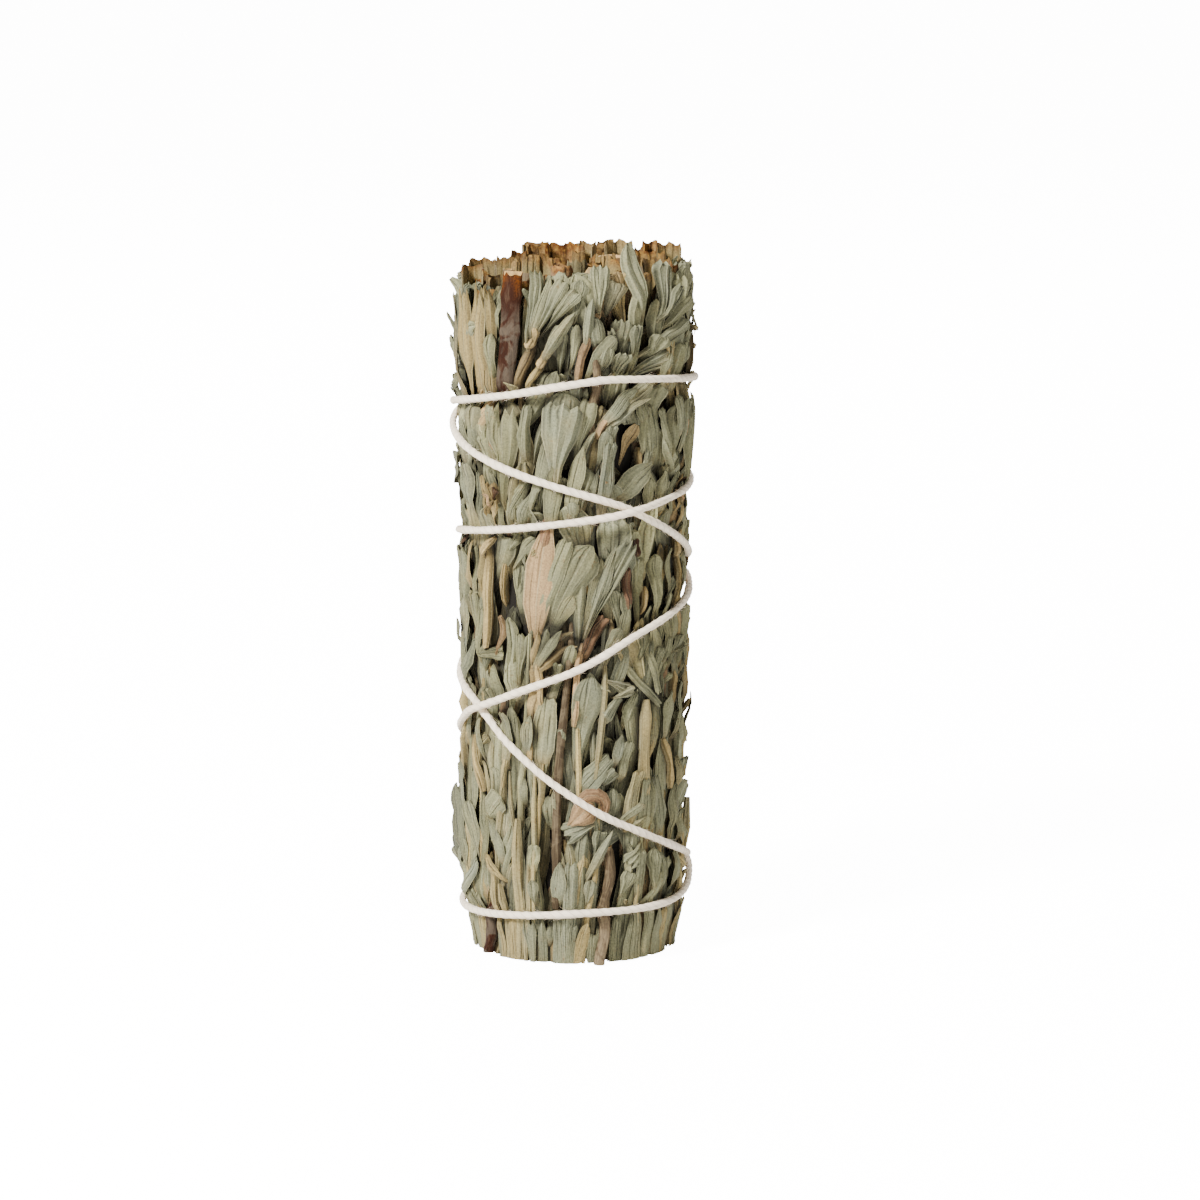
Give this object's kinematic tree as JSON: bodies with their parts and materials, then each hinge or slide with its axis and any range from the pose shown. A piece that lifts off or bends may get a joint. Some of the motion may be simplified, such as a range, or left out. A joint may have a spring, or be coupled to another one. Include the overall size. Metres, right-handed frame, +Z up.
{
  "type": "blue sage bundle",
  "caption": "Short upright stick of dried blue sage sprigs pressed tightly together, cut flat at both ends and bound with a thin cotton string wound down and up in crossing turns.",
  "frame": {"origin": "centre of the flat cut lower end that the bundle stands on", "axes": "+Z up along the bundle; -Y towards the side seen in front; +X to that side's right"},
  "size_m": [0.0354, 0.036, 0.0999],
  "materials": {
    "dry_leaf_1": "matt, velvety dried grey-green leaf",
    "dry_leaf_2": "matt, velvety dried grey-green leaf, a little darker",
    "dry_leaf_3": "matt, velvety dried grey-green leaf, a little paler",
    "woody_stem": "dry brown bark",
    "cut_stem": "tan bark with a pale cut end",
    "cotton_string": "matt, softly twisted natural cotton"
  },
  "bodies": {
    "root": {"outer_sprig_01_leaves": "dry_leaf_1", "outer_sprig_01_stem": "woody_stem", "outer_sprig_02_leaves": "dry_leaf_2", "outer_sprig_02_stem": "woody_stem", "outer_sprig_03_leaves": "dry_leaf_3", "outer_sprig_03_stem": "woody_stem", "outer_sprig_04_leaves": "dry_leaf_1", "outer_sprig_04_stem": "woody_stem", "outer_sprig_05_leaves": "dry_leaf_2", "outer_sprig_05_stem": "woody_stem", "outer_sprig_06_leaves": "dry_leaf_3", "outer_sprig_06_stem": "woody_stem", "outer_sprig_07_leaves": "dry_leaf_1", "outer_sprig_07_stem": "woody_stem", "outer_sprig_08_leaves": "dry_leaf_2", "outer_sprig_08_stem": "woody_stem", "outer_sprig_09_leaves": "dry_leaf_3", "outer_sprig_09_stem": "woody_stem", "outer_sprig_10_leaves": "dry_leaf_1", "outer_sprig_10_stem": "woody_stem", "outer_sprig_11_leaves": "dry_leaf_2", "outer_sprig_11_stem": "woody_stem", "outer_sprig_12_leaves": "dry_leaf_3", "outer_sprig_12_stem": "woody_stem", "inner_sprig_1": "dry_leaf_2", "inner_sprig_3": "dry_leaf_1", "inner_sprig_4": "dry_leaf_2", "inner_sprig_6": "dry_leaf_1", "woody_stem_0": "cut_stem", "woody_stem_2": "cut_stem", "woody_stem_5": "cut_stem", "twig_upper_left": "woody_stem", "twig_long_front": "woody_stem", "twig_upper_front": "woody_stem", "twig_lower_right": "woody_stem", "twig_lower_left": "woody_stem", "twig_back": "woody_stem", "cotton_string": "cotton_string"}
  },
  "joints": []
}
